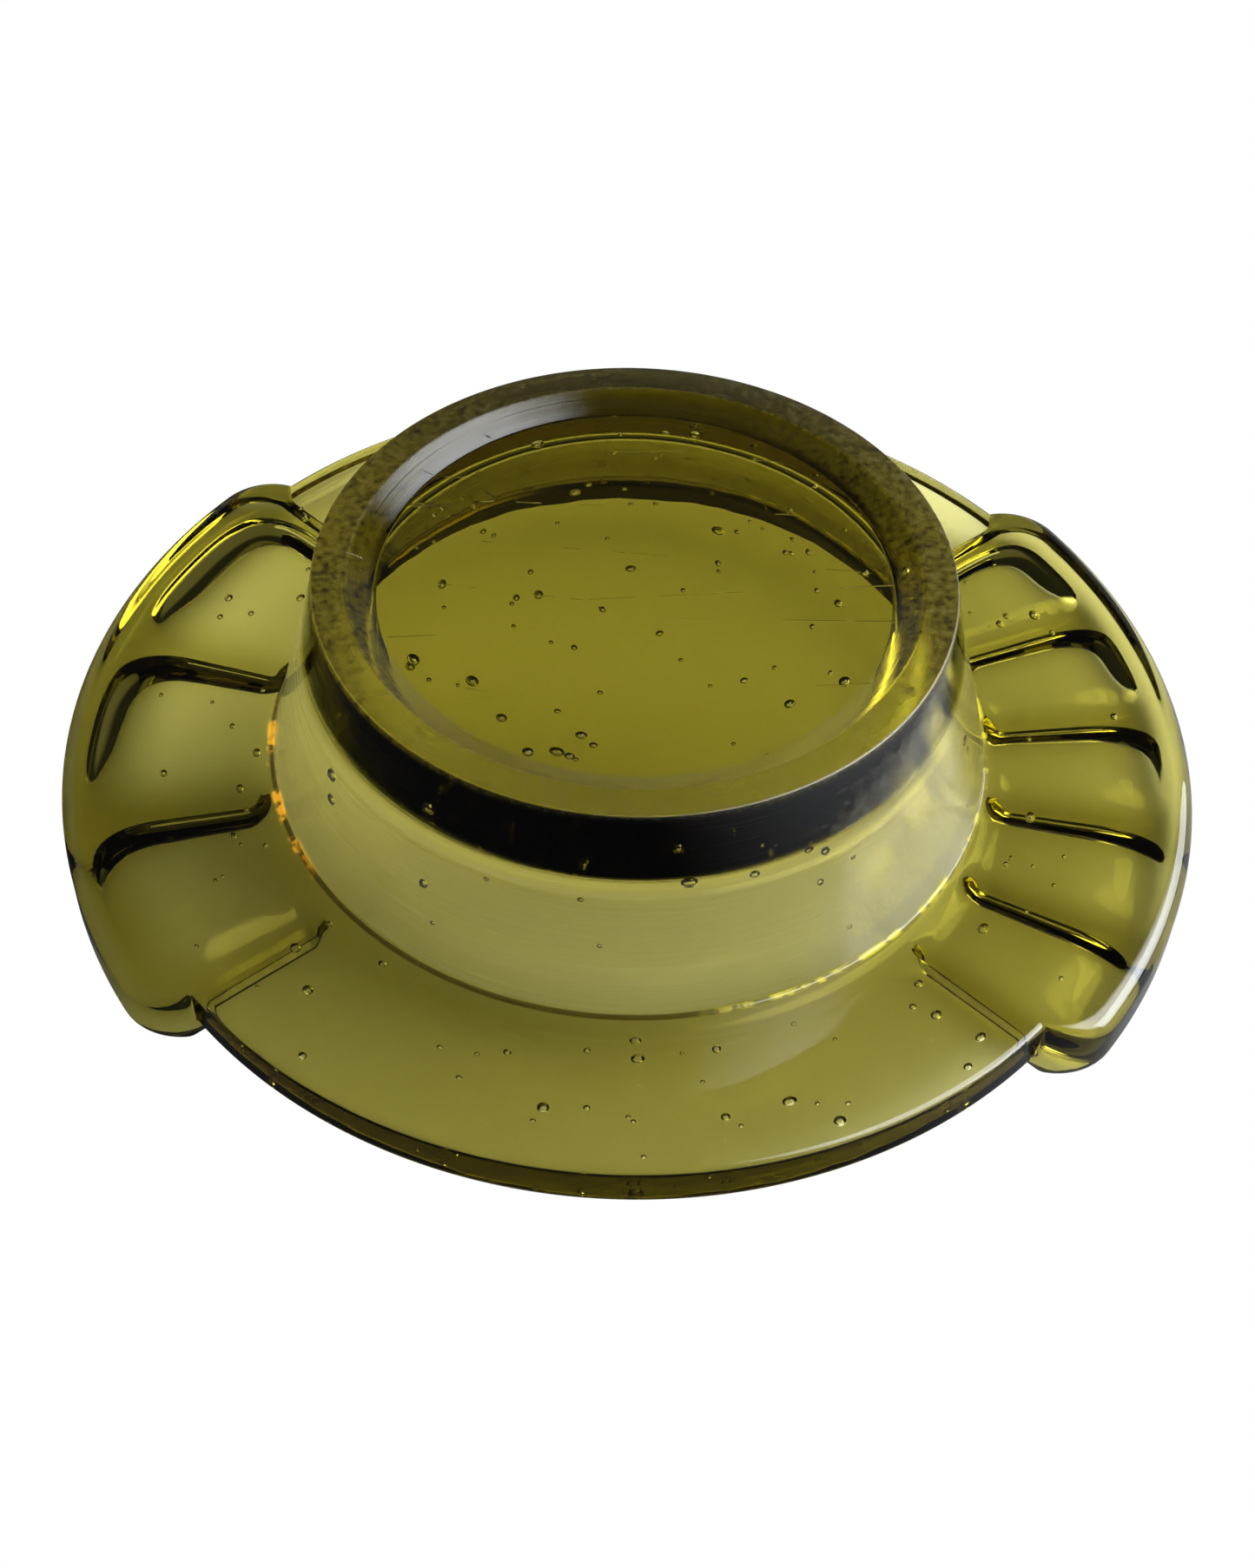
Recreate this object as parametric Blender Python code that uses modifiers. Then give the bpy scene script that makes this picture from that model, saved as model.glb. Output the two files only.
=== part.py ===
"""Pressed uranium glass dish, turned over so that it rests on its rim with the foot ring up.

Metres, +Z up. The origin is on the dish's axis, on the plane that the two fans rest on. The dish is
one piece of glass: a turned bowl and rim, and two fans of flutes pressed with it, one at +X with
five flutes and one at -X with three.
"""
import math

import bmesh
import bpy
from mathutils import Matrix

# Foot and drum (the outside of the bowl), radii from the axis and heights above the rim's back.
FOOT_RADIUS = 0.0437
FOOT_HEIGHT = 0.0312
FOOT_FLAT_WIDTH = 0.0046
FOOT_EDGE_ROUND = 0.0004
RECESS_DEPTH = 0.0021
RECESS_SLOPE_WIDTH = 0.0039
RECESS_CORNER_ROUND = 0.0010
SHOULDER_RADIUS = 0.0458
SHOULDER_HEIGHT = 0.0212
DRUM_BASE_RADIUS = 0.0514
DRUM_BASE_ROUND = 0.0004

# Rim.
RIM_RADIUS = 0.0751
RIM_THICKNESS = 0.0072
RIM_BACK_ROUND = 0.0011
RIM_FACE_ROUND = 0.0016

# Inside of the bowl. The wall is measured at the rim's back, and the taper is radius lost per height.
WALL_THICKNESS = 0.0050
BOWL_TAPER = 0.40
FLOOR_THICKNESS = 0.0133
FLOOR_CORNER_ROUND = 0.0042
MOUTH_ROUND = 0.0045

# Fans: the thicker sectors of the rim, and the flutes pressed into their faces.
FAN_RADIUS = 0.0815
FAN_THICKNESS = 0.0108
FAN_HALF_ANGLE = math.radians(41.9)
FAN_CORNER_ROUND = 0.0085
FAN_EDGE_ROUND = 0.0026
FAN_INSET = 0.0062
FLUTE_MARGIN = 0.0032
FLUTE_END_LENGTH = 0.0070
RIDGE_WIDTH = 0.0012
FIVE_FLUTE_DEPTH = 0.0032
THREE_FLUTE_DEPTH = 0.0045
FANS = (("five_flute_fan", 0.0, 5, FIVE_FLUTE_DEPTH), ("three_flute_fan", math.pi, 3, THREE_FLUTE_DEPTH))

# Facets.
TURN_STEPS = 88
CORNER_STEP = math.radians(24.0)
FAN_ARC_STEPS = 20
EDGE_SEGMENTS = 3
FLUTE_STEPS = 28
FLUTE_END_STEPS = 6
MERGE_DISTANCE = 0.00002

# Levels and radii that follow from the sizes above.
RIM_BACK_Z = FAN_THICKNESS
RIM_FACE_Z = RIM_BACK_Z - RIM_THICKNESS
SHOULDER_Z = RIM_BACK_Z + SHOULDER_HEIGHT
FOOT_Z = RIM_BACK_Z + FOOT_HEIGHT
RECESS_Z = FOOT_Z - RECESS_DEPTH
BOWL_FLOOR_Z = RECESS_Z - FLOOR_THICKNESS
FOOT_FLAT_RADIUS = FOOT_RADIUS - FOOT_FLAT_WIDTH
RECESS_RADIUS = FOOT_FLAT_RADIUS - RECESS_SLOPE_WIDTH


def bowl_radius(z):
    """Radius of the bowl's inner wall at height z."""
    return DRUM_BASE_RADIUS - WALL_THICKNESS - BOWL_TAPER * (z - RIM_BACK_Z)


MOUTH_RADIUS = bowl_radius(RIM_FACE_Z)
FAN_INNER_RADIUS = MOUTH_RADIUS + FAN_INSET


def rounded(corners):
    """Points of a path through corners (x, y, fillet radius), each corner rounded by an arc."""
    points = []
    last = len(corners) - 1
    for index, (x, y, radius) in enumerate(corners):
        if index in (0, last) or radius == 0.0:
            points.append((x, y))
            continue
        before = math.atan2(y - corners[index - 1][1], x - corners[index - 1][0])
        after = math.atan2(corners[index + 1][1] - y, corners[index + 1][0] - x)
        turn = math.remainder(after - before, math.tau)
        side = math.copysign(1.0, turn)
        back = radius * math.tan(abs(turn) / 2)
        start_x = x - back * math.cos(before)
        start_y = y - back * math.sin(before)
        centre_x = start_x - side * radius * math.sin(before)
        centre_y = start_y + side * radius * math.cos(before)
        steps = max(1, math.ceil(abs(turn) / CORNER_STEP))
        for step in range(steps + 1):
            heading = before + turn * step / steps
            points.append((centre_x + side * radius * math.sin(heading),
                           centre_y - side * radius * math.cos(heading)))
    return points


def glass_material():
    """Clear olive uranium glass."""
    material = bpy.data.materials.new("olive_uranium_glass")
    material.use_nodes = True
    shader = material.node_tree.nodes["Principled BSDF"]
    shader.inputs["Base Color"].default_value = (0.56, 0.55, 0.12, 1.0)
    shader.inputs["Roughness"].default_value = 0.04
    shader.inputs["Metallic"].default_value = 0.0
    shader.inputs["IOR"].default_value = 1.51
    shader.inputs["Transmission Weight"].default_value = 1.0
    return material


def new_object(name, mesh, collection):
    """An object of this mesh in this collection."""
    thing = bpy.data.objects.new(name, mesh)
    collection.objects.link(thing)
    return thing


def turned(name, profile, steps, collection):
    """A solid turned about Z from a profile of (radius, z) that runs down its outer side."""
    mesh = bpy.data.meshes.new(name)
    edges = [(index, index + 1) for index in range(len(profile) - 1)]
    mesh.from_pydata([(radius, 0.0, z) for radius, z in profile], edges, [])
    thing = new_object(name, mesh, collection)
    screw = thing.modifiers.new("turn", "SCREW")
    screw.axis = "Z"
    screw.angle = math.tau
    screw.steps = steps
    screw.render_steps = steps
    screw.use_merge_vertices = True
    screw.merge_threshold = MERGE_DISTANCE
    screw.use_smooth_shade = True
    return thing


def as_mesh(thing, collection):
    """The evaluated object as a mesh object of the same name, in place of the first."""
    name = thing.name
    evaluated = thing.evaluated_get(bpy.context.evaluated_depsgraph_get())
    mesh = bpy.data.meshes.new_from_object(evaluated)
    matrix = thing.matrix_world.copy()
    bpy.data.objects.remove(thing)
    work = bmesh.new()
    work.from_mesh(mesh)
    bmesh.ops.remove_doubles(work, verts=work.verts, dist=MERGE_DISTANCE)
    work.to_mesh(mesh)
    work.free()
    solid = new_object(name, mesh, collection)
    solid.matrix_world = matrix
    return solid


def boolean(target, cutter, operation):
    """Joins a cutter to the target or takes it away, as a live modifier."""
    modifier = target.modifiers.new(cutter.name, "BOOLEAN")
    modifier.operation = operation
    modifier.object = cutter
    modifier.solver = "EXACT"
    cutter.hide_render = True
    cutter.display_type = "WIRE"


def dish_profile():
    """Half section of the turned glass, from the recess over the foot, drum and rim to the bowl."""
    outside = [
        (0.0, RECESS_Z, 0.0),
        (RECESS_RADIUS, RECESS_Z, RECESS_CORNER_ROUND),
        (FOOT_FLAT_RADIUS, FOOT_Z, RECESS_CORNER_ROUND),
        (FOOT_RADIUS, FOOT_Z, FOOT_EDGE_ROUND),
        (SHOULDER_RADIUS, SHOULDER_Z, 0.0),
        (DRUM_BASE_RADIUS, RIM_BACK_Z, DRUM_BASE_ROUND),
        (RIM_RADIUS, RIM_BACK_Z, RIM_BACK_ROUND),
        (RIM_RADIUS, RIM_FACE_Z, RIM_FACE_ROUND),
    ]
    inside = [
        (MOUTH_RADIUS, RIM_FACE_Z, MOUTH_ROUND),
        (bowl_radius(BOWL_FLOOR_Z), BOWL_FLOOR_Z, FLOOR_CORNER_ROUND),
        (0.0, BOWL_FLOOR_Z, 0.0),
    ]
    return rounded(outside + inside)


def fan_outline():
    """Outline of a fan centred on +X: an arc sector with its two outer corners rounded."""
    corner_turn = FAN_CORNER_ROUND / (FAN_RADIUS - FAN_CORNER_ROUND)
    corner_angle = FAN_HALF_ANGLE - math.asin(corner_turn)
    corner_reach = FAN_RADIUS - FAN_CORNER_ROUND
    outline = []
    for step in range(FAN_ARC_STEPS + 1):
        angle = corner_angle * (2.0 * step / FAN_ARC_STEPS - 1.0)
        outline.append((FAN_RADIUS * math.cos(angle), FAN_RADIUS * math.sin(angle)))
    centre = (corner_reach * math.cos(corner_angle), corner_reach * math.sin(corner_angle))
    sweep = FAN_HALF_ANGLE + math.pi / 2 - corner_angle
    corner = []
    for step in range(1, EDGE_SEGMENTS + 1):
        angle = corner_angle + sweep * step / EDGE_SEGMENTS
        corner.append((centre[0] + FAN_CORNER_ROUND * math.cos(angle),
                       centre[1] + FAN_CORNER_ROUND * math.sin(angle)))
    outline.extend(corner)
    for step in range(FAN_ARC_STEPS + 1):
        angle = FAN_HALF_ANGLE * (1.0 - 2.0 * step / FAN_ARC_STEPS)
        outline.append((FAN_INNER_RADIUS * math.cos(angle), FAN_INNER_RADIUS * math.sin(angle)))
    outline.extend((x, -y) for x, y in reversed(corner))
    return outline


def fan_block(name, heading, collection):
    """The thick sector that a fan is pressed from, its edges rounded."""
    curve = bpy.data.curves.new(name, "CURVE")
    curve.dimensions = "2D"
    curve.fill_mode = "BOTH"
    curve.extrude = FAN_THICKNESS / 2
    outline = fan_outline()
    spline = curve.splines.new("POLY")
    spline.points.add(len(outline) - 1)
    for point, (x, y) in zip(spline.points, outline):
        point.co = (x, y, 0.0, 1.0)
    spline.use_cyclic_u = True
    thing = new_object(name, curve, collection)
    thing.matrix_world = Matrix.Rotation(heading, 4, "Z") @ Matrix.Translation((0, 0, FAN_THICKNESS / 2))
    bpy.context.view_layer.update()
    block = as_mesh(thing, collection)
    bevel = block.modifiers.new("rounded_edges", "BEVEL")
    bevel.width = FAN_EDGE_ROUND
    bevel.segments = EDGE_SEGMENTS
    bevel.limit_method = "ANGLE"
    bevel.angle_limit = math.radians(60.0)
    return block


def flute_profile():
    """Half section of a flute cutter of unit slope: a cone from the dish's axis, with a domed end."""
    end = FAN_RADIUS - FLUTE_MARGIN
    dome = end - FLUTE_END_LENGTH
    start = FAN_INNER_RADIUS - FAN_INSET
    profile = []
    for step in range(FLUTE_END_STEPS + 1):
        angle = math.pi / 2 * (1.0 - step / FLUTE_END_STEPS)
        profile.append((dome * math.cos(angle), dome + FLUTE_END_LENGTH * math.sin(angle)))
    profile.append((start, start))
    profile.append((0.0, start))
    return profile


def flute_cutter(name, heading, half_angle, depth, collection):
    """A flattened cone that lies along heading and reaches its depth into the fan's face."""
    cutter = as_mesh(turned(name, flute_profile(), FLUTE_STEPS, collection), collection)
    reach = FAN_RADIUS - FLUTE_MARGIN - FLUTE_END_LENGTH
    ridge_angle = RIDGE_WIDTH / 2 / reach
    chord_share = math.cos(math.radians(30.0))
    side_slope = math.tan(half_angle - ridge_angle) / chord_share
    height_slope = 2.0 * depth / reach
    lay_down = Matrix.Rotation(math.pi / 2, 4, "Y")
    flatten = Matrix.Diagonal((1.0, side_slope, height_slope, 1.0))
    sink = Matrix.Rotation(math.atan(height_slope / 2), 4, "Y")
    turn = Matrix.Rotation(heading, 4, "Z")
    cutter.data.transform(turn @ sink @ flatten @ lay_down)
    return cutter


def add_fan(dish, name, heading, flutes, depth, collection):
    """Joins a fan to the dish and presses its flutes."""
    boolean(dish, fan_block(name, heading, collection), "UNION")
    margin_angle = FLUTE_MARGIN / FAN_RADIUS
    pitch = 2.0 * (FAN_HALF_ANGLE - margin_angle) / flutes
    for index in range(flutes):
        offset = (index - (flutes - 1) / 2) * pitch
        cutter = flute_cutter(f"{name}_flute_{index + 1}", heading + offset, pitch / 2, depth, collection)
        boolean(dish, cutter, "DIFFERENCE")


def main():
    for thing in list(bpy.data.objects):
        bpy.data.objects.remove(thing)
    parts = bpy.data.collections.new("uranium_glass_dish")
    cutters = bpy.data.collections.new("cutters")
    for collection in (parts, cutters):
        bpy.context.scene.collection.children.link(collection)
    dish = as_mesh(turned("pressed_glass_dish", dish_profile(), TURN_STEPS, parts), parts)
    dish.data.shade_smooth()
    dish.data.set_sharp_from_angle(angle=math.radians(30.0))
    dish.data.materials.append(glass_material())
    for name, heading, flutes, depth in FANS:
        add_fan(dish, name, heading, flutes, depth, cutters)


main()
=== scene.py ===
"""Finished glass, stage and camera for the pressed uranium glass dish, laid out as an add-on."""
import itertools
import math
import random

import bmesh
import bpy
import numpy as np
from mathutils import Matrix, Vector


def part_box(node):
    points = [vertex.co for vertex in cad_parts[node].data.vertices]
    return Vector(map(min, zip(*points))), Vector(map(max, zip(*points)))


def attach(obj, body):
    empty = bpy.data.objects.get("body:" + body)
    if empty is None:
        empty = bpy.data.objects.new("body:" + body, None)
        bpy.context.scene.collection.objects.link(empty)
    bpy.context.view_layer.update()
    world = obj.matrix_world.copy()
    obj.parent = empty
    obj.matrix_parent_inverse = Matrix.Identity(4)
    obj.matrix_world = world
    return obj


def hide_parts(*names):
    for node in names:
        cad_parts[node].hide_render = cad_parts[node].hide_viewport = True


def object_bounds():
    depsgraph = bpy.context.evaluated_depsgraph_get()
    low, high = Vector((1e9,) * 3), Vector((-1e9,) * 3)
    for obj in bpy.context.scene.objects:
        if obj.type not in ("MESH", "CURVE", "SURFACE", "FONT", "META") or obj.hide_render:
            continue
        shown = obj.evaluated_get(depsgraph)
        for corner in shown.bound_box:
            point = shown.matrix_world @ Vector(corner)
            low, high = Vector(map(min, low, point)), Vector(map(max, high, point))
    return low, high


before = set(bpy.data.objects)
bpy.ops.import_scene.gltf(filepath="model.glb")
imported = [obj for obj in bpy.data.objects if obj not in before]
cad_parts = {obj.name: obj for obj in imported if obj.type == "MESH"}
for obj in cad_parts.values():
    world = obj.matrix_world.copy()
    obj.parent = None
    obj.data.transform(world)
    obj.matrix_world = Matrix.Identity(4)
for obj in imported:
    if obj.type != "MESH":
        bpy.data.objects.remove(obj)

bl_info = {
    "name": "Uranium Glass Dish",
    "version": (1, 0, 0),
    "blender": (4, 5, 0),
    "location": "3D View > Sidebar > Glass Dish",
    "description": "Builds a pressed uranium glass dish, its bubbles and a studio around them",
    "category": "Add Mesh",
}

DISH_NODE = "pressed_glass_dish"
ROOT_BODY = "root"

CAD_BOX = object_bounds()
CAD_LOW = Vector(CAD_BOX[0])
DISH_LOW, DISH_HIGH = (Vector(corner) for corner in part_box(DISH_NODE))


# ---------------------------------------------------------------- settings

def length(name, default, description):
    """A length property in metres."""
    return bpy.props.FloatProperty(name=name, description=description, default=default, unit="LENGTH",
                                   min=0.0, precision=5)


class DishSizes(bpy.types.PropertyGroup):
    """Sizes of the pressed glass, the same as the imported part's."""

    fan_radius: length("Fan radius", DISH_HIGH.x, "From the axis to the fans' outer edge")
    rim_radius: length("Rim radius", DISH_HIGH.y, "From the axis to the plain rim's edge")
    height: length("Height", DISH_HIGH.z, "From the fans' faces to the foot ring")
    fan_thickness: length("Fan thickness", 0.0108, "From a fan's face to the rim's back")
    rim_thickness: length("Rim thickness", 0.0072, "Thickness of the plain rim")
    drum_radius: length("Drum radius", 0.0514, "Outside radius of the bowl where it meets the rim")
    shoulder_radius: length("Shoulder radius", 0.0458, "Outside radius where the foot begins")
    shoulder_height: length("Shoulder height", 0.0212, "From the rim's back to the shoulder")
    foot_radius: length("Foot radius", 0.0437, "Outside radius of the foot ring")
    foot_flat: length("Foot ring width", 0.0046, "Width of the ground flat of the foot ring")
    recess_depth: length("Recess depth", 0.0021, "Depth of the hollow inside the foot ring")
    recess_slope: length("Recess slope", 0.0039, "Width of the slope into the recess")
    wall: length("Wall", 0.0050, "Thickness of the bowl's wall at the rim's back")
    bowl_taper: bpy.props.FloatProperty(name="Bowl taper", description="Radius the bowl loses per height",
                                        default=0.40, min=0.0, precision=3)
    floor: length("Floor", 0.0133, "Thickness of the bowl's floor")
    floor_round: length("Floor corner", 0.0042, "Radius of the corner inside the bowl")
    mouth_round: length("Mouth round", 0.0045, "Radius of the edge between bowl and rim")
    fan_half_angle: bpy.props.FloatProperty(name="Fan half angle", subtype="ANGLE",
                                            description="Half of the sector that a fan covers",
                                            default=math.radians(41.9))


class GlassFinish(bpy.types.PropertyGroup):
    """Look of the glass."""

    absorption: bpy.props.FloatVectorProperty(name="Passed colour", subtype="COLOR", size=3,
                                              description="Colour that the glass lets through",
                                              default=(0.65, 0.61, 0.0), min=0.0, max=1.0)
    density: bpy.props.FloatProperty(name="Density", description="Absorption per metre of glass",
                                     default=190.0, min=0.0)
    index: bpy.props.FloatProperty(name="Refractive index", description="Index of refraction",
                                   default=1.51, min=1.0, max=2.0)
    bubbles: bpy.props.IntProperty(name="Bubbles", description="How many seed bubbles the glass holds",
                                   default=230, min=0)


# ---------------------------------------------------------------- shape of the glass

COLUMNS = 600
MERGE_DISTANCE = 1e-7
ARC_STEP = math.radians(8.0)
FANS = ((0.0, 5, 0.0032), (math.pi, 3, 0.0045))
FLUTE_MARGIN = 0.0020
FLUTE_END = 0.0115
FLUTE_SIDE_POWER = 4.5
FLUTE_END_POWER = 2.1
RIDGE_HALF_WIDTH = 0.0005
RIDGE_SOFTNESS = 0.07
FAN_SIDE_WIDTH = 0.0011
FAN_CORNER = 0.0085
FAN_BACK_ROUND = 0.0030
FAN_FACE_ROUND = 0.0030
FAN_INNER_GAP = 0.0042
FAN_INNER_SLOPE = 0.0020
RIM_BACK_ROUND = 0.0011
RIM_FACE_ROUND = 0.0016
RECESS_ROUND = 0.0010
FOOT_INNER_ROUND = 0.0008
FOOT_OUTER_ROUND = 0.0004
SHOULDER_ROUND = 0.0004
DRUM_BASE_ROUND = 0.0004
FACE_POINTS = 34
STEEPEST_FALL = 30.0
CROWD_STEPS = 7200
COLUMN_CROWDING = 5.0
CROWD_WIDTH = math.radians(1.3)


def smooth(value):
    """0 to 1 with level ends as value goes from 0 to 1."""
    value = min(max(value, 0.0), 1.0)
    return value * value * (3.0 - 2.0 * value)


def rounded_path(corners):
    """Points through corners (radius, z, fillet, points along the stretch that follows)."""
    points = []
    last = len(corners) - 1
    for index, (x, y, fillet, stretch) in enumerate(corners):
        if index in (0, last) or fillet == 0.0:
            points.append((x, y))
        else:
            before = math.atan2(y - corners[index - 1][1], x - corners[index - 1][0])
            after = math.atan2(corners[index + 1][1] - y, corners[index + 1][0] - x)
            turn = math.remainder(after - before, math.tau)
            side = math.copysign(1.0, turn)
            back = fillet * math.tan(abs(turn) / 2)
            centre = (x - back * math.cos(before) - side * fillet * math.sin(before),
                      y - back * math.sin(before) + side * fillet * math.cos(before))
            steps = max(3, math.ceil(abs(turn) / ARC_STEP))
            for step in range(steps + 1):
                heading = before + turn * step / steps
                points.append((centre[0] + side * fillet * math.sin(heading),
                               centre[1] - side * fillet * math.cos(heading)))
        if stretch:
            points.append(stretch)
    return fill_stretches(points)


def fill_stretches(points):
    """Replaces each whole number in a path by that many points between its neighbours."""
    filled = []
    for index, point in enumerate(points):
        if isinstance(point, int):
            start = points[index - 1]
            end = points[index + 1]
            for step in range(1, point + 1):
                share = step / (point + 1)
                filled.append((start[0] + (end[0] - start[0]) * share,
                               start[1] + (end[1] - start[1]) * share))
        else:
            filled.append(point)
    return filled


class DishShape:
    """The pressed shape, worked out from the sizes."""

    def __init__(self, sizes):
        self.sizes = sizes
        self.back = sizes.fan_thickness
        self.face = self.back - sizes.rim_thickness
        self.shoulder = self.back + sizes.shoulder_height
        self.recess = sizes.height - sizes.recess_depth
        self.bowl_floor = self.recess - sizes.floor
        self.mouth = self.bowl_radius(self.face)
        self.fan_inner = self.mouth + FAN_INNER_GAP

    def bowl_radius(self, z):
        """Radius of the bowl's inner wall at height z."""
        return self.sizes.drum_radius - self.sizes.wall - self.sizes.bowl_taper * (z - self.back)

    def section(self, edge_radius, back_round, face_round, face):
        """Half section from the recess over foot and rim to the bowl, for a given rim edge and face."""
        sizes = self.sizes
        flat = sizes.foot_radius - sizes.foot_flat
        return rounded_path([
            (0.0, self.recess, 0.0, 3),
            (flat - sizes.recess_slope, self.recess, RECESS_ROUND, 0),
            (flat, sizes.height, FOOT_INNER_ROUND, 2),
            (sizes.foot_radius, sizes.height, FOOT_OUTER_ROUND, 2),
            (sizes.shoulder_radius, self.shoulder, SHOULDER_ROUND, 4),
            (sizes.drum_radius, self.back, DRUM_BASE_ROUND, 5),
            (edge_radius, self.back, back_round, 2),
            (edge_radius, face, face_round, FACE_POINTS),
            (self.bowl_radius(face), face, sizes.mouth_round, 3),
            (self.bowl_radius(self.bowl_floor), self.bowl_floor, sizes.floor_round, 3),
            (0.0, self.bowl_floor, 0.0, 0),
        ])

    def fan_at(self, angle):
        """(angle from the middle of the nearest fan, its number of flutes and their depth)."""
        heading, flutes, depth = min(FANS, key=lambda fan: abs(math.remainder(angle - fan[0], math.tau)))
        return math.remainder(angle - heading, math.tau), flutes, depth

    def outline_share(self, offset):
        """How far the edge has gone from the plain rim's radius to the fan's, rounded at corners."""
        sizes = self.sizes
        inside = (sizes.fan_half_angle - abs(offset)) * sizes.fan_radius
        if inside <= 0.0:
            return 0.0
        short = max(FAN_CORNER - inside, 0.0)
        radius = sizes.fan_radius - FAN_CORNER + math.sqrt(FAN_CORNER ** 2 - short ** 2)
        return max(radius - sizes.rim_radius, 0.0) / (sizes.fan_radius - sizes.rim_radius)

    def side_share(self, offset):
        """0 on the plain rim and 1 inside a fan, across the fan's steep side."""
        inside = (self.sizes.fan_half_angle - abs(offset)) * self.sizes.rim_radius
        return smooth(inside / FAN_SIDE_WIDTH)

    def flute_height(self, radius, offset, flutes, depth):
        """Height of a fan's face above its lowest plane: flat-bottomed scoops between ridges."""
        sizes = self.sizes
        end = sizes.fan_radius - FLUTE_MARGIN
        straight = end - FLUTE_END
        half_pitch = (sizes.fan_half_angle - FLUTE_MARGIN / sizes.fan_radius) / flutes
        place = min(max(offset / half_pitch + flutes, 0.0), 2.0 * flutes)
        beyond = abs(offset) - half_pitch * flutes
        across = abs(place % 2.0 - 1.0) + max(beyond, 0.0) / half_pitch
        crest = 1.0 - RIDGE_HALF_WIDTH / (half_pitch * radius)
        along = max(radius - straight, 0.0) / FLUTE_END
        reach = min(across / crest, 2.0) ** FLUTE_SIDE_POWER + min(along, 2.0) ** FLUTE_END_POWER
        fall = (1.0 - reach) / RIDGE_SOFTNESS
        scoop = RIDGE_SOFTNESS * (fall if fall > STEEPEST_FALL else math.log1p(math.exp(fall)))
        return depth * min(radius / straight, 1.0) * scoop

    def column_angles(self):
        """The angle of each column of the turned mesh, crowded at the fans' sides and ridges."""
        sizes = self.sizes
        angles = np.linspace(-math.pi / 2, math.tau - math.pi / 2, CROWD_STEPS + 1)
        crowd = np.ones_like(angles)
        for heading, flutes, _ in FANS:
            half_pitch = (sizes.fan_half_angle - FLUTE_MARGIN / sizes.fan_radius) / flutes
            places = [heading + half_pitch * (2 * index - flutes) for index in range(flutes + 1)]
            places += [heading - sizes.fan_half_angle, heading + sizes.fan_half_angle]
            for place in places:
                apart = np.remainder(angles - place + math.pi, math.tau) - math.pi
                crowd += COLUMN_CROWDING * np.exp(-((apart / CROWD_WIDTH) ** 2))
        grown = np.concatenate(([0.0], np.cumsum((crowd[1:] + crowd[:-1]) / 2)))
        shares = np.linspace(0.0, grown[-1], COLUMNS + 1)
        return np.interp(shares, grown, angles)

    def place(self, plain, fan, angle):
        """Where a point of the plain section goes at this angle, given its match in a fan's section."""
        offset, flutes, depth = self.fan_at(angle)
        side = self.side_share(offset)
        reach = plain[0] + self.outline_share(offset) * (fan[0] - plain[0])
        inner = smooth((reach - self.fan_inner) / FAN_INNER_SLOPE)
        radius = plain[0] + inner * (reach - plain[0])
        z = plain[1]
        if side * inner > 0.0:
            target = fan[1]
            if plain[1] < self.face + RIM_FACE_ROUND:
                target += self.flute_height(radius, offset, flutes, depth)
            z += side * inner * (target - plain[1])
        return Vector((radius * math.cos(angle), radius * math.sin(angle), z))


def build_glass(sizes):
    """The dish as one closed mesh: a grid wrapped round the axis along the section and its fans."""
    shape = DishShape(sizes)
    plain = shape.section(sizes.rim_radius, RIM_BACK_ROUND, RIM_FACE_ROUND, shape.face)
    fan = shape.section(sizes.fan_radius, FAN_BACK_ROUND, FAN_FACE_ROUND, 0.0)
    rows = len(plain) - 1
    columns = shape.column_angles()
    work = bmesh.new()
    bmesh.ops.create_grid(work, x_segments=COLUMNS, y_segments=rows, size=0.5)
    for vertex in work.verts:
        angle = columns[round((vertex.co.x + 0.5) * COLUMNS)]
        index = round((vertex.co.y + 0.5) * rows)
        vertex.co = shape.place(plain[index], fan[index], angle)
    bmesh.ops.remove_doubles(work, verts=work.verts, dist=MERGE_DISTANCE)
    bmesh.ops.recalc_face_normals(work, faces=work.faces)
    return finished_mesh(work, "glass_body")


def finished_mesh(work, name):
    """A smooth-shaded mesh of a finished bmesh."""
    mesh = bpy.data.meshes.new(name)
    work.to_mesh(mesh)
    work.free()
    mesh.shade_smooth()
    return mesh


# ---------------------------------------------------------------- bubbles

BUBBLE_SEED = 41
BUBBLE_SIDES = 10
BUBBLE_RINGS = 7
BUBBLE_FLOOR_SHARE = 0.40
BUBBLE_WALL_SHARE = 0.18
BUBBLE_FLOOR_REACH = 0.0340
BUBBLE_SKIN = 0.0004
BUBBLE_FLOOR_DEPTH = 0.0060
BUBBLE_WALL_SPREAD = 0.0012
BUBBLE_STRETCH = 1.5
BUBBLE_LEAST = 0.00030
BUBBLE_SPREAD = 0.00055


def add_bubble(work, ball, centre, radius, stretch, heading):
    """One closed bubble, drawn out along a level heading."""
    place = (Matrix.Translation(centre) @ Matrix.Rotation(heading, 4, "Z")
             @ Matrix.Diagonal((radius * stretch, radius, radius, 1.0)))
    before = len(work.verts)
    work.from_mesh(ball)
    for vertex in itertools.islice(work.verts, before, None):
        vertex.co = place @ vertex.co


def unit_ball():
    """A round ball of radius 1 as a mesh."""
    work = bmesh.new()
    bmesh.ops.create_uvsphere(work, u_segments=BUBBLE_SIDES, v_segments=BUBBLE_RINGS, radius=1.0)
    return finished_mesh(work, "unit_ball")


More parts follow.
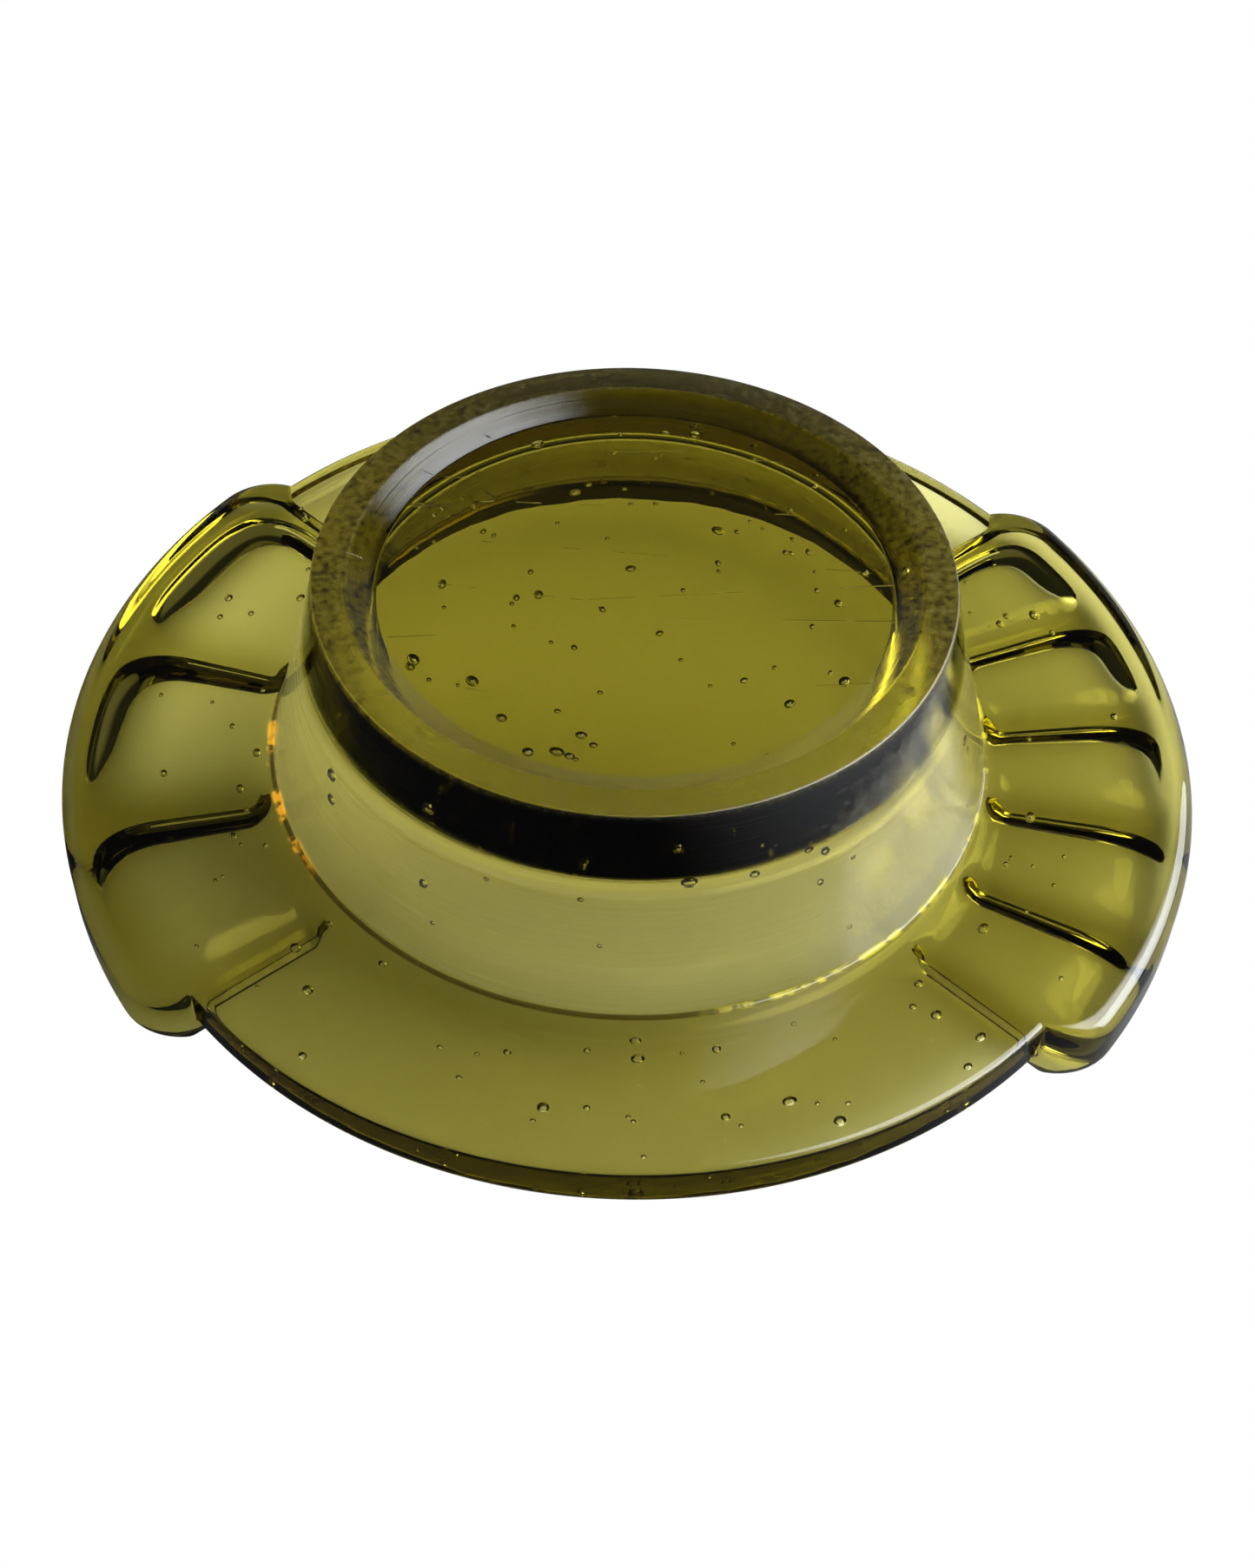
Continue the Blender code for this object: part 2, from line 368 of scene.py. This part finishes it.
def build_bubbles(sizes, count):
    """Seed bubbles caught in the glass: under the recess, in the wall and in the rim."""
    shape = DishShape(sizes)
    chance = random.Random(BUBBLE_SEED)
    work = bmesh.new()
    ball = unit_ball()
    wall_middle = sizes.wall / 2
    for _ in range(count):
        where = chance.random()
        radius = BUBBLE_LEAST + BUBBLE_SPREAD * chance.random() ** 3
        angle = chance.uniform(0.0, math.tau)
        if where < BUBBLE_FLOOR_SHARE:
            distance = BUBBLE_FLOOR_REACH * math.sqrt(chance.random())
            z = shape.recess - radius - BUBBLE_SKIN - BUBBLE_FLOOR_DEPTH * chance.random() ** 2
        elif where < BUBBLE_FLOOR_SHARE + BUBBLE_WALL_SHARE:
            z = chance.uniform(shape.back + 0.002, shape.shoulder + 0.004)
            distance = shape.bowl_radius(z) + wall_middle + chance.uniform(-1.0, 1.0) * BUBBLE_WALL_SPREAD
        else:
            distance = chance.uniform(sizes.drum_radius + 0.002, sizes.rim_radius - 0.0025)
            z = chance.uniform(shape.face + 0.0040, shape.back - 0.0012)
        centre = Vector((distance * math.cos(angle), distance * math.sin(angle), z))
        add_bubble(work, ball, centre, radius, chance.uniform(1.0, BUBBLE_STRETCH), angle + math.pi / 2)
    bpy.data.meshes.remove(ball)
    return finished_mesh(work, "bubbles")


# ---------------------------------------------------------------- materials

WAVE_SCALE = 70.0
GRAIN_SCALE = 900.0
LINE_SCALE = 2600.0
LINE_HEIGHT = 0.40
BUMP_DISTANCE = 0.00008
PRESSED_ROUGHNESS = 0.015
FOOT_ROUGHNESS = 0.28
SLOPE_ROUGHNESS = 0.05
SPECKLE_ROUGHNESS = 0.12
SPECKLE_GRAIN = (0.50, 0.68)
SPARKLE_SCALE = 420.0
SPARKLE_GRAIN = (0.46, 0.60)
# Painted highlight: the gold line along the drum's base fades in between these x.
LIT_SIDE = (0.008, 0.022)
# Painted shade: the dark line along the drum's base fades out between these x.
SEAM_SHADE_SIDE = (0.010, 0.024)
# Painted sheen on the drum follows these turned lines.
PAINTED_SHEEN_LINES = (0.35, 0.70)
# Painted glow in the foot is broken up by this grain.
PAINTED_GLOW_GRAIN = (0.20, 0.62)
# Painted shade: colour of the dark line painted along the drum's base.
SEAM_PAINTED_SHADE = (0.12, 0.09, 0.02, 1.0)
# Painted highlights: gold along the drum's base on the right, amber on the left.
SEAM_GLINT = (0.60, 0.55, 0.02, 1.0)
AMBER_GLINT = (0.70, 0.30, 0.01, 1.0)
# Painted sheen: bluish colour emitted on the drum.
DRUM_PAINTED_SHEEN = (0.028, 0.031, 0.044, 1.0)
# Painted glow: colour emitted in the ground foot, and below its share on the slope.
FOOT_PAINTED_GLOW = (0.105, 0.086, 0.004, 1.0)
SLOPE_GLOW = 0.75
SCRATCH_TURN = math.radians(55.0)
SCRATCH_STRETCH = (18.0, 90.0, 1.0)
SCRATCH_WIDTH = (0.002, 0.010)
SCRATCH_BREAK_SCALE = 140.0
SCRATCH_BREAKS = (0.52, 0.60)
SCRATCH_DEPTH = 0.5


class Nodes:
    """Short ways to add and link nodes in one tree."""

    def __init__(self, tree):
        self.tree = tree

    def add(self, kind, inputs=None, **settings):
        """A node of that kind, with its settings and its plain or linked inputs."""
        node = self.tree.nodes.new(kind)
        for name, value in settings.items():
            setattr(node, name, value)
        for name, value in (inputs or {}).items():
            if isinstance(value, bpy.types.NodeSocket):
                self.tree.links.new(value, node.inputs[name])
            else:
                node.inputs[name].default_value = value
        return node

    def maths(self, operation, first, second=0.0):
        """The value of a maths node."""
        return self.add("ShaderNodeMath", {0: first, 1: second}, operation=operation).outputs[0]

    def band(self, value, low, high):
        """0 below low and 1 above high, with soft ends."""
        return self.add("ShaderNodeMapRange", {"Value": value, "From Min": low, "From Max": high},
                        interpolation_type="SMOOTHSTEP").outputs["Result"]

    def fade(self, value, low, high):
        """1 below low and 0 above high, with soft ends."""
        return self.maths("SUBTRACT", 1.0, self.band(value, low, high))

    def near(self, value, middle, close, far):
        """1 within close of the middle and 0 beyond far of it."""
        apart = self.maths("ABSOLUTE", self.maths("SUBTRACT", value, middle))
        return self.fade(apart, close, far)

    def product(self, first, *others):
        """All the values multiplied."""
        for other in others:
            first = self.maths("MULTIPLY", first, other)
        return first

    def noise(self, place, scale, detail=2.0):
        """Fractal noise about one half."""
        inputs = {"Vector": place, "Scale": scale, "Detail": detail}
        return self.add("ShaderNodeTexNoise", inputs).outputs["Fac"]

    def mixed(self, share, first, second):
        """The first colour, going over to the second as share goes to 1."""
        inputs = {"Factor": share, "A": first, "B": second}
        return self.add("ShaderNodeMix", inputs, data_type="RGBA").outputs["Result"]


def group_tree(name, values, colours):
    """A new shader node group that gives those values and colours, and its output node."""
    tree = bpy.data.node_groups.new(name, "ShaderNodeTree")
    for labels, kind in ((values, "NodeSocketFloat"), (colours, "NodeSocketColor")):
        for label in labels:
            tree.interface.new_socket(label, in_out="OUTPUT", socket_type=kind)
    return tree, tree.nodes.new("NodeGroupOutput")


def turned_place(nodes):
    """Radius from the axis, height and the position itself, in metres."""
    position = nodes.add("ShaderNodeTexCoord").outputs["Object"]
    parts = nodes.add("ShaderNodeSeparateXYZ", {"Vector": position})
    flat = nodes.add("ShaderNodeCombineXYZ", {"X": parts.outputs["X"], "Y": parts.outputs["Y"]})
    radius = nodes.add("ShaderNodeVectorMath", {0: flat.outputs[0]}, operation="LENGTH").outputs["Value"]
    return radius, parts.outputs["Z"], position


class DishMasks:
    """Where on the dish a point lies: its place, and masks of the dish's zones."""

    def __init__(self, nodes, shape):
        sizes = shape.sizes
        self.nodes = nodes
        self.shape = shape
        self.radius, self.z, self.position = turned_place(nodes)
        parts = nodes.add("ShaderNodeSeparateXYZ", {"Vector": self.position}).outputs
        self.x = parts["X"]
        self.y = parts["Y"]
        flat_edge = sizes.foot_radius - sizes.foot_flat
        slope_edge = flat_edge - sizes.recess_slope
        self.drum = nodes.product(nodes.band(self.z, shape.back + 0.0005, shape.back + 0.0015),
                                  nodes.band(self.radius, sizes.foot_radius - 0.004,
                                             sizes.foot_radius - 0.003))
        self.foot = nodes.product(nodes.band(self.z, sizes.height - 0.0012, sizes.height - 0.0002),
                                  nodes.band(self.radius, flat_edge - 0.0006, flat_edge + 0.0002))
        self.slope = nodes.product(nodes.band(self.radius, slope_edge - 0.0003, slope_edge + 0.0004),
                                   nodes.band(self.z, shape.recess + 0.0002, shape.recess + 0.0007),
                                   nodes.fade(self.radius, flat_edge - 0.0003, flat_edge + 0.0002))
        self.recess = nodes.band(self.z, shape.recess - 0.0010, shape.recess - 0.0004)
        self.seam = nodes.product(nodes.near(self.radius, sizes.drum_radius, 0.00035, 0.00070),
                                  nodes.near(self.z, shape.back, 0.0003, 0.0006))
        self.left_seam = nodes.product(nodes.near(self.radius, sizes.drum_radius + 0.0003, 0.0003, 0.0009),
                                       nodes.fade(self.x, -0.047, -0.040),
                                       nodes.fade(self.y, -0.004, 0.004),
                                       nodes.band(self.z, shape.back - 0.0010, shape.back - 0.0003))


def surface_height(nodes, masks, lines):
    """Faint pressing waves and turned lines, cut by scratches in the recess."""
    waves = nodes.noise(masks.position, WAVE_SCALE)
    turned = nodes.maths("MAXIMUM", masks.slope, nodes.maths("MAXIMUM", masks.drum, masks.foot))
    height = nodes.maths("ADD", waves, nodes.product(lines, turned, LINE_HEIGHT))
    drawn = nodes.add("ShaderNodeMapping", {"Vector": masks.position, "Rotation": (0.0, 0.0, SCRATCH_TURN),
                                            "Scale": SCRATCH_STRETCH})
    cells = nodes.add("ShaderNodeTexVoronoi", {"Vector": drawn.outputs[0], "Scale": 1.0},
                      feature="DISTANCE_TO_EDGE").outputs["Distance"]
    broken = nodes.band(nodes.noise(masks.position, SCRATCH_BREAK_SCALE), *SCRATCH_BREAKS)
    scratch = nodes.product(nodes.fade(cells, *SCRATCH_WIDTH), broken, masks.recess, SCRATCH_DEPTH)
    return nodes.maths("SUBTRACT", height, scratch)


def surface_roughness(nodes, masks, grain):
    """Clear pressed glass, with a slightly rougher slope and a ground and speckled foot."""
    speckle = nodes.product(nodes.band(grain, *SPECKLE_GRAIN), masks.foot, SPECKLE_ROUGHNESS)
    ground = nodes.maths("ADD", nodes.product(masks.foot, FOOT_ROUGHNESS), speckle)
    clear = nodes.maths("ADD", PRESSED_ROUGHNESS, ground)
    return nodes.maths("ADD", clear, nodes.product(masks.slope, SLOPE_ROUGHNESS))


def surface_glints(nodes, masks, lines, grain):
    """Painted light: gold and amber painted highlights along the drum's base, a painted sheen on the drum
    and a painted glow in the ground foot and the slope into the recess, stronger towards the sides.
    """
    # Painted highlights: gold sparks along the drum's base on the right side, amber ones on the left.
    sparkle = nodes.band(nodes.noise(masks.position, SPARKLE_SCALE, 3.0), *SPARKLE_GRAIN)
    lit = nodes.product(nodes.band(masks.x, *LIT_SIDE), masks.seam)
    glint = nodes.mixed(nodes.product(lit, sparkle), (0.0, 0.0, 0.0, 1.0), SEAM_GLINT)
    glint = nodes.mixed(nodes.product(masks.left_seam, sparkle), glint, AMBER_GLINT)
    # Painted sheen: a bluish sheen along the drum's turned lines, between the rim and the shoulder.
    shoulder = masks.shape.shoulder
    painted_sheen = nodes.product(masks.drum, nodes.band(lines, *PAINTED_SHEEN_LINES),
                         nodes.fade(masks.z, shoulder - 0.0006, shoulder))
    glint = nodes.mixed(painted_sheen, glint, DRUM_PAINTED_SHEEN)
    # Painted glow: the ground foot and the slope into the recess glow yellow, more towards the left and
    # right sides.
    aside = nodes.maths("DIVIDE", nodes.maths("ABSOLUTE", masks.x), masks.shape.sizes.foot_radius)
    painted_glow_places = nodes.maths("ADD", masks.foot, nodes.product(masks.slope, SLOPE_GLOW))
    ground = nodes.product(nodes.maths("POWER", aside, 2.0), painted_glow_places, nodes.band(grain, *PAINTED_GLOW_GRAIN))
    return nodes.mixed(ground, glint, FOOT_PAINTED_GLOW)


def surface_group(shape):
    """Height, roughness, painted shade and painted light of a pressed and partly ground surface."""
    tree, out = group_tree("Pressed glass surface", ("Height", "Roughness"), ("Tint", "Painted light"))
    nodes = Nodes(tree)
    masks = DishMasks(nodes, shape)
    grain = nodes.noise(masks.position, GRAIN_SCALE, 3.0)
    rings = nodes.add("ShaderNodeCombineXYZ", {"X": masks.radius, "Y": masks.z})
    lines = nodes.noise(rings.outputs[0], LINE_SCALE, 3.0)
    # Painted shade: a dark line along the drum's base, on all but the right side, darkens the base colour.
    painted_seam_shade = nodes.product(masks.seam, nodes.fade(masks.x, *SEAM_SHADE_SIDE))
    tree.links.new(surface_height(nodes, masks, lines), out.inputs["Height"])
    tree.links.new(surface_roughness(nodes, masks, grain), out.inputs["Roughness"])
    tree.links.new(nodes.mixed(painted_seam_shade, (1.0, 1.0, 1.0, 1.0), SEAM_PAINTED_SHADE), out.inputs["Tint"])
    tree.links.new(surface_glints(nodes, masks, lines, grain), out.inputs["Painted light"])
    return tree


def glass_material(finish, shape):
    """Olive uranium glass with absorption, faint pressing waves, turned lines and a ground foot."""
    material = bpy.data.materials.new("olive_glass_finish")
    material.use_nodes = True
    material.cycles.emission_sampling = "NONE"
    material.node_tree.nodes.clear()
    nodes = Nodes(material.node_tree)
    surface = nodes.add("ShaderNodeGroup", node_tree=surface_group(shape))
    bump = nodes.add("ShaderNodeBump", {"Strength": 1.0, "Distance": BUMP_DISTANCE,
                                        "Height": surface.outputs["Height"]})
    # The base colour takes the painted shade line, and the emission the painted highlights, sheen and glow
    # of the surface group.
    glass = nodes.add("ShaderNodeBsdfPrincipled", {
        "Base Color": surface.outputs["Tint"], "Metallic": 0.0, "Transmission Weight": 1.0,
        "IOR": finish.index, "Roughness": surface.outputs["Roughness"], "Normal": bump.outputs["Normal"],
        "Emission Color": surface.outputs["Painted light"], "Emission Strength": 1.0})
    volume = nodes.add("ShaderNodeVolumeAbsorption", {"Color": (*finish.absorption, 1.0),
                                                      "Density": finish.density})
    nodes.add("ShaderNodeOutputMaterial", {"Surface": glass.outputs["BSDF"], "Volume": volume.outputs[0]})
    return material


def bubble_material(finish):
    """Air inside the glass: the glass's index the other way round."""
    material = bpy.data.materials.new("air_bubble")
    material.use_nodes = True
    material.node_tree.nodes.clear()
    nodes = Nodes(material.node_tree)
    air = nodes.add("ShaderNodeBsdfPrincipled", {
        "Base Color": (1.0, 1.0, 1.0, 1.0), "Metallic": 0.0, "Transmission Weight": 1.0,
        "IOR": 1.0 / finish.index, "Roughness": 0.0})
    nodes.add("ShaderNodeOutputMaterial", {"Surface": air.outputs["BSDF"]})
    return material


def floor_material(tone):
    """Plain pale tabletop: white to the eye, a dim painted glow brightening to the right in reflections,
    and a painted pool of light under the bowl.
    """
    material = bpy.data.materials.new("pale_tabletop")
    material.use_nodes = True
    material.cycles.emission_sampling = "NONE"
    material.node_tree.nodes.clear()
    nodes = Nodes(material.node_tree)
    path = nodes.add("ShaderNodeLightPath")
    matt = nodes.add("ShaderNodeBsdfDiffuse", {"Color": (tone, tone, tone, 1.0)})
    radius, _, position = turned_place(nodes)
    parts = nodes.add("ShaderNodeSeparateXYZ", {"Vector": position}).outputs
    aside = parts["X"]
    # Painted pool of light: yellowish light under the bowl, stronger to the left and back, seen through
    # the glass.
    level = nodes.maths("SUBTRACT", POOL_LEVEL, nodes.product(aside, POOL_LEAN))
    pool = nodes.product(level, nodes.fade(radius, *POOL_EDGE), nodes.band(parts["Y"], *POOL_FRONT))
    pooled = nodes.add("ShaderNodeEmission", {"Color": POOL_COLOUR, "Strength": pool})
    under = nodes.add("ShaderNodeAddShader", {0: matt.outputs[0], 1: pooled.outputs[0]})
    # Painted light: in reflections the tabletop is a dim glow that brightens towards the right.
    glow = nodes.maths("ADD", tone * REFLECTED_SHARE,
                       nodes.product(nodes.band(aside, GLOW_START, GLOW_END), tone * GLOW_SHARE))
    dim = nodes.add("ShaderNodeEmission", {"Color": GLOW_COLOUR, "Strength": glow})
    clean = nodes.add("ShaderNodeEmission", {"Color": (1.0, 1.0, 1.0, 1.0), "Strength": 1.0})
    reflected = nodes.add("ShaderNodeMixShader", {"Fac": path.outputs["Is Reflection Ray"],
                                                  1: under.outputs[0], 2: dim.outputs[0]})
    seen = nodes.add("ShaderNodeMixShader", {"Fac": path.outputs["Is Camera Ray"],
                                             1: reflected.outputs[0], 2: clean.outputs[0]})
    nodes.add("ShaderNodeOutputMaterial", {"Surface": seen.outputs[0]})
    return material


# ---------------------------------------------------------------- stage

PLACE_UNIT = 0.0514
AXIS_POINT = Vector((0.0, 0.0, 0.0108))
CAMERA_DISTANCE = 6.53006
CAMERA_ELEVATION = math.radians(48.629)
CAMERA_ROLL = math.radians(-2.051)
CAMERA_TURN = math.radians(0.4)
CAMERA_ASIDE = 0.00095
CAMERA_ALOFT = 0.157936
LENS = 53.07
SENSOR = 36.0
FLOOR_HALF = 2.5
WINDOW_PLACE = (0.75, 0.08, 0.30)
WINDOW_SIZE = (0.9, 0.45)
WINDOW_COLOUR = (0.90, 0.95, 1.0)
SKYLIGHT_AXIS = Vector((0.72, -0.05, 0.69))
SKYLIGHT_EDGE = (0.78, 0.94)
SKYLIGHT_LEVEL = 8.3
ROOM_COLOUR = (0.96, 0.98, 1.0, 1.0)
ROOM_LEVEL = 0.04
WALL_LEVEL = 0.22
WALL_EDGE = (0.42, 0.56)
# Painted light: the tabletop's glow in reflections, brighter towards the right.
GLOW_START = 0.02
GLOW_END = 0.16
REFLECTED_SHARE = 0.05
GLOW_SHARE = 1.1
FLOOR_GAP = 0.0004
GLOW_COLOUR = (0.93, 0.96, 1.0, 1.0)
# Painted pool of light on the tabletop under the bowl.
POOL_COLOUR = (1.0, 1.0, 0.5, 1.0)
POOL_LEVEL = 0.28
POOL_LEAN = 3.0
POOL_EDGE = (0.066, 0.082)
POOL_FRONT = (-0.024, 0.022)


def add_object(name, data):
    """A new object at the origin, in the scene."""
    item = bpy.data.objects.new(name, data)
    bpy.context.scene.collection.objects.link(item)
    return item


def add_camera():
    """Camera from above in front of the upturned dish."""
    forward = Vector((0.0, math.cos(CAMERA_ELEVATION), -math.sin(CAMERA_ELEVATION)))
    right = Vector((1.0, 0.0, 0.0))
    up = Vector((0.0, math.sin(CAMERA_ELEVATION), math.cos(CAMERA_ELEVATION)))
    spot = -(forward * CAMERA_DISTANCE + right * CAMERA_ASIDE + up * CAMERA_ALOFT) * PLACE_UNIT
    across = right * math.cos(CAMERA_ROLL) - up * math.sin(CAMERA_ROLL)
    aloft = right * math.sin(CAMERA_ROLL) + up * math.cos(CAMERA_ROLL)
    facing = Matrix((across, aloft, -forward)).transposed().to_4x4()
    data = bpy.data.cameras.new("camera")
    data.lens = LENS
    data.sensor_width = SENSOR
    camera = add_object("camera", data)
    camera.matrix_world = (Matrix.Translation(AXIS_POINT) @ Matrix.Rotation(CAMERA_TURN, 4, "Z")
                           @ Matrix.Translation(spot) @ facing)
    bpy.context.scene.camera = camera


def add_softbox(name, place, size, power, colour):
    """A rectangular soft light at place, turned to the dish."""
    data = bpy.data.lights.new(name, "AREA")
    data.shape = "RECTANGLE"
    data.size, data.size_y = size
    data.energy = power
    data.color = colour
    light = add_object(name, data)
    light.matrix_world = (Matrix.Translation(place)
                          @ Vector(place).to_track_quat("Z", "Y").to_matrix().to_4x4())


def add_world():
    """A dim room with paler walls and a big high window on the right."""
    world = bpy.data.worlds.new("studio")
    world.use_nodes = True
    world.node_tree.nodes.clear()
    nodes = Nodes(world.node_tree)
    heading = nodes.add("ShaderNodeTexCoord").outputs["Generated"]
    towards = nodes.add("ShaderNodeVectorMath", {0: heading, 1: SKYLIGHT_AXIS}, operation="DOT_PRODUCT")
    skylight = nodes.band(towards.outputs["Value"], *SKYLIGHT_EDGE)
    z = nodes.add("ShaderNodeSeparateXYZ", {"Vector": heading}).outputs["Z"]
    walls = nodes.product(nodes.fade(z, *WALL_EDGE), WALL_LEVEL)
    level = nodes.maths("ADD", ROOM_LEVEL, nodes.product(skylight, SKYLIGHT_LEVEL))
    level = nodes.maths("ADD", level, walls)
    sky = nodes.add("ShaderNodeBackground", {"Color": ROOM_COLOUR, "Strength": level})
    clean = nodes.add("ShaderNodeBackground", {"Color": (1.0, 1.0, 1.0, 1.0), "Strength": 1.0})
    path = nodes.add("ShaderNodeLightPath")
    seen = nodes.add("ShaderNodeMixShader", {"Fac": path.outputs["Is Camera Ray"],
                                             1: sky.outputs[0], 2: clean.outputs[0]})
    nodes.add("ShaderNodeOutputWorld", {"Surface": seen.outputs[0]})
    bpy.context.scene.world = world


def add_stage(settings):
    """Floor, lights, world and camera."""
    work = bmesh.new()
    bmesh.ops.create_grid(work, x_segments=1, y_segments=1, size=FLOOR_HALF,
                          matrix=Matrix.Translation((0.0, 0.0, CAD_LOW.z - FLOOR_GAP)))
    floor = add_object("tabletop", finished_mesh(work, "tabletop"))
    floor.data.materials.append(floor_material(settings.floor_tone))
    add_softbox("window", WINDOW_PLACE, WINDOW_SIZE, settings.window_power, WINDOW_COLOUR)
    add_world()
    add_camera()
    scene = bpy.context.scene
    scene.view_settings.view_transform = "Standard"
    scene.cycles.max_bounces = 32
    scene.cycles.transmission_bounces = 32
    scene.cycles.glossy_bounces = 16


class StageSettings(bpy.types.PropertyGroup):
    """Light and floor around the dish."""

    floor_tone: bpy.props.FloatProperty(name="Floor tone", description="How pale the tabletop is",
                                        default=0.85, min=0.0, max=1.0, subtype="FACTOR")
    window_power: bpy.props.FloatProperty(name="Window power", description="Power of the side light",
                                          default=9.0, min=0.0, unit="POWER")


# ---------------------------------------------------------------- operators and panel

class DISH_OT_build_glass(bpy.types.Operator):
    """Build the pressed glass dish in place of its plain solid."""

    bl_idname = "dish.build_glass"
    bl_label = "Build Glass Dish"

    def execute(self, context):
        """Adds the glass body."""
        sizes = context.scene.dish_sizes
        dish = add_object("glass_dish", build_glass(sizes))
        dish.data.materials.append(glass_material(context.scene.dish_finish, DishShape(sizes)))
        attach(dish, ROOT_BODY)
        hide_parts(DISH_NODE)
        return {"FINISHED"}


class DISH_OT_build_bubbles(bpy.types.Operator):
    """Scatter seed bubbles inside the glass."""

    bl_idname = "dish.build_bubbles"
    bl_label = "Build Seed Bubbles"

    def execute(self, context):
        """Adds the bubbles."""
        finish = context.scene.dish_finish
        bubbles = add_object("seed_bubbles", build_bubbles(context.scene.dish_sizes, finish.bubbles))
        bubbles.data.materials.append(bubble_material(finish))
        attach(bubbles, ROOT_BODY)
        return {"FINISHED"}


class DISH_OT_build_stage(bpy.types.Operator):
    """Set up the tabletop, lights and camera."""

    bl_idname = "dish.build_stage"
    bl_label = "Build Stage"

    def execute(self, context):
        """Adds the stage."""
        add_stage(context.scene.dish_stage)
        return {"FINISHED"}


class DISH_PT_panel(bpy.types.Panel):
    """Sizes, finish and build buttons."""

    bl_idname = "DISH_PT_panel"
    bl_label = "Glass Dish"
    bl_space_type = "VIEW_3D"
    bl_region_type = "UI"
    bl_category = "Glass Dish"

    def draw(self, context):
        """Lists the settings and the operators."""
        for group in (context.scene.dish_sizes, context.scene.dish_finish, context.scene.dish_stage):
            box = self.layout.box()
            for name in group.__annotations__:
                box.prop(group, name)
        for operator in (DISH_OT_build_glass, DISH_OT_build_bubbles, DISH_OT_build_stage):
            self.layout.operator(operator.bl_idname)


CLASSES = (DishSizes, GlassFinish, StageSettings, DISH_OT_build_glass, DISH_OT_build_bubbles,
           DISH_OT_build_stage, DISH_PT_panel)


def register():
    """Registers the classes and their settings on the scene."""
    for item in CLASSES:
        bpy.utils.register_class(item)
    bpy.types.Scene.dish_sizes = bpy.props.PointerProperty(type=DishSizes)
    bpy.types.Scene.dish_finish = bpy.props.PointerProperty(type=GlassFinish)
    bpy.types.Scene.dish_stage = bpy.props.PointerProperty(type=StageSettings)


def unregister():
    """Takes the settings and classes away again."""
    del bpy.types.Scene.dish_stage
    del bpy.types.Scene.dish_finish
    del bpy.types.Scene.dish_sizes
    for item in reversed(CLASSES):
        bpy.utils.unregister_class(item)


def main():
    """Builds everything."""
    register()
    bpy.ops.dish.build_glass()
    bpy.ops.dish.build_bubbles()
    bpy.ops.dish.build_stage()


if __name__ == "__main__":
    main()
